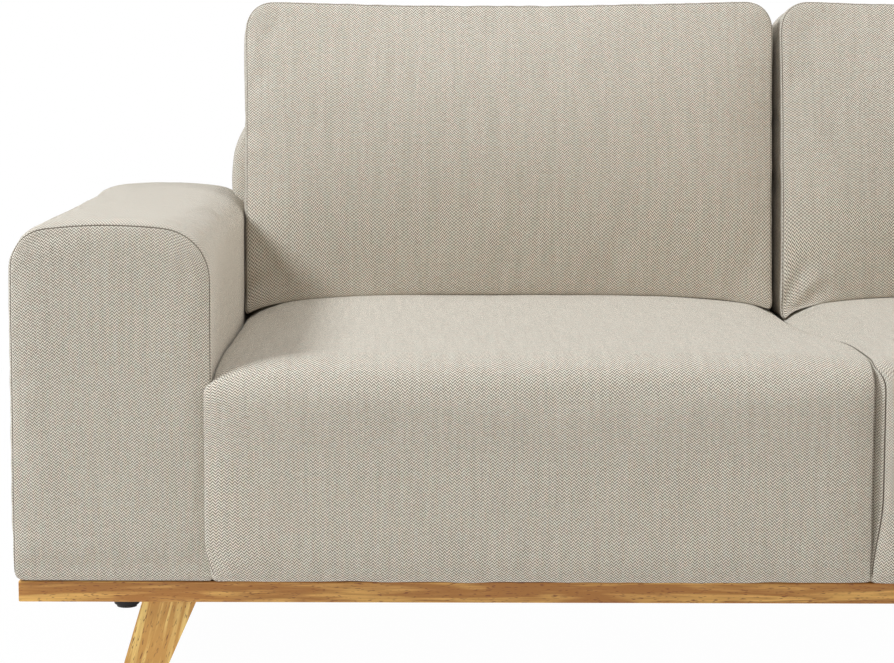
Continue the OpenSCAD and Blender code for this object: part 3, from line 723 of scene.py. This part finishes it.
fit(back, 0, low.x - 0.005, high.x + 0.005)
fit(back, 2, low.z, high.z)
rumple(back, 0.001)
fold = sew(back, 0.004, 0.004)
smooth_piece(back)
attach(back, "sofa")
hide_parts("back_cover", "back_foam")
stitch("back_stitching", fold, "sofa")

# ---- Back cushions ----
# Loose boxed cushions of fibre-wrapped foam. Front and back panels are sewn to a band, and the
# stuffing crowns the front and draws the sides in between the corners.
thick = 0.112  # at the seams, before the stuffing crowns the front
crown = 0.032
# Creases in the front panel: where each starts and ends, across and up from -1 to 1, and how
# deep it is. Stuffing has sunk away from the lower corners, and the band folds there.
creases = {
    "left": [((-1.0, -0.86), (-0.90, -0.80), 0.010), ((-1.0, 0.05), (-0.965, 0.09), 0.004),
             ((1.0, -0.95), (0.94, -0.82), 0.004)],
    "right": [((-1.0, -0.93), (-0.90, -0.70), 0.009), ((-0.97, -1.0), (-0.84, -0.88), 0.008),
              ((1.0, -0.95), (0.93, -0.84), 0.005)],
}


def crease_depth(x, z, start, end, depth):
    """A crease from start to end at full depth by the seam, and gone at its far end."""
    run = end - start
    along = min(1.0, max(0.0, (Vector((x, z)) - start).dot(run) / run.length_squared))
    off = (Vector((x, z)) - start - run * along).length
    groove = math.exp(-(off / 0.008) ** 2) - 0.45 * math.exp(-((off - 0.019) / 0.010) ** 2)
    return depth * (1 - along) ** 0.7 * groove


for side_name, sign in (("left", -1), ("right", 1)):
    low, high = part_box("back_cushion_cover_" + side_name)
    tall = (high.z - seat_crown - thick * math.sin(rake)) / math.cos(rake) - 0.002
    bm, side = cut_block((low.x, -thick, 0.0), (high.x, 0.0, tall), 0.010)
    mark_seams(bm, side, [(a, b) for a in (LEFT, RIGHT, TOP, BOTTOM) for b in (FRONT, REAR)])
    lay_cloth(bm, side, lambda panel, co: (co.x, co.z) if panel in (FRONT, REAR) else (
        (co.y, co.z) if panel in (LEFT, RIGHT) else (co.x, co.y)))
    for x, out in ((low.x, -1), (high.x, 1)):
        round_edge(bm, 0, 2, (x, tall), (out, 1), lambda co: 0.040)
        round_edge(bm, 0, 2, (x, 0.0), (out, -1), lambda co: 0.018)
    middle = (low.x + high.x) / 2
    half = (high.x - low.x) / 2
    for vert in bm.verts:
        across = (vert.co.x - middle) / half
        up = 2 * vert.co.z / tall - 1
        depth = 1 + vert.co.y / thick
        # The band bulges past both seams, and the sides draw in between the corners.
        pinch = 0.0015 * (2 * depth - 1) ** 4
        vert.co.x -= across * (pinch + 0.002 * (1 - up ** 2))
        vert.co.z -= max(0.0, up) * (pinch * 0.5 + 0.007 * (1 - across ** 2))
        dome = max(0.0, 1 - across ** 2) ** 0.85 * max(0.0, 1 - up ** 2) ** 0.7
        vert.co.y -= crown * dome * (1 - depth)
    cushion = make_piece("back_cushion_" + side_name, bm)
    stuff(cushion, 4.0, 0.012, 0.006)
    # The outer sides lean on the arms, both cushions stand a little to the left of the middle, and
    # the seamed corners stand up past the top.
    fit(cushion, 0, *((low.x - 0.005, -0.011) if sign < 0 else (-0.009, high.x + 0.005)))
    fit(cushion, 2, -0.014, tall + 0.009)
    rumple(cushion, 0.0013)
    for vert in cushion.data.vertices:
        if vert.co.y < -0.5 * thick:
            for start, end, depth in creases[side_name]:
                a, b = [Vector((middle + p * half, (q + 1) / 2 * tall)) for p, q in (start, end)]
                vert.co += Vector((0, 1, 0)) * crease_depth(vert.co.x, vert.co.z, a, b, depth)
    fold = sew(cushion, 0.003, 0.0022)
    # The foot settles on the crowned seat, and the back lies flat on the sofa's back.
    turn = Matrix.Rotation(-rake, 4, "X")
    foot = Vector((0, wall(seat_crown) - 0.003, seat_crown))

    def settle(co):
        press = 1 - ramp(co.z, 0.0, 0.14)
        across = max(-1.0, min(1.0, (co.x - middle) / half))
        seat_here = seat_crown - seat_drop * bow(across) + 0.0005
        raised = -co.y * math.sin(rake)
        co = turn @ co + foot
        co.z += (seat_here - foot.z - raised) * press
        co.z = max(co.z, seat_here)
        co.y = min(co.y, wall(co.z) - 0.001)
        return co

    for vert in cushion.data.vertices:
        vert.co = settle(vert.co)
    fold = [(settle(a), settle(b)) for a, b in fold]
    smooth_piece(cushion)
    body = "back_cushion_" + side_name
    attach(cushion, body)
    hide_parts("back_cushion_cover_" + side_name, "back_cushion_core_" + side_name)
    stitch("back_cushion_stitching_" + side_name, fold, body)
    finish_node("back_cushion_zip_" + side_name, zip_tape)
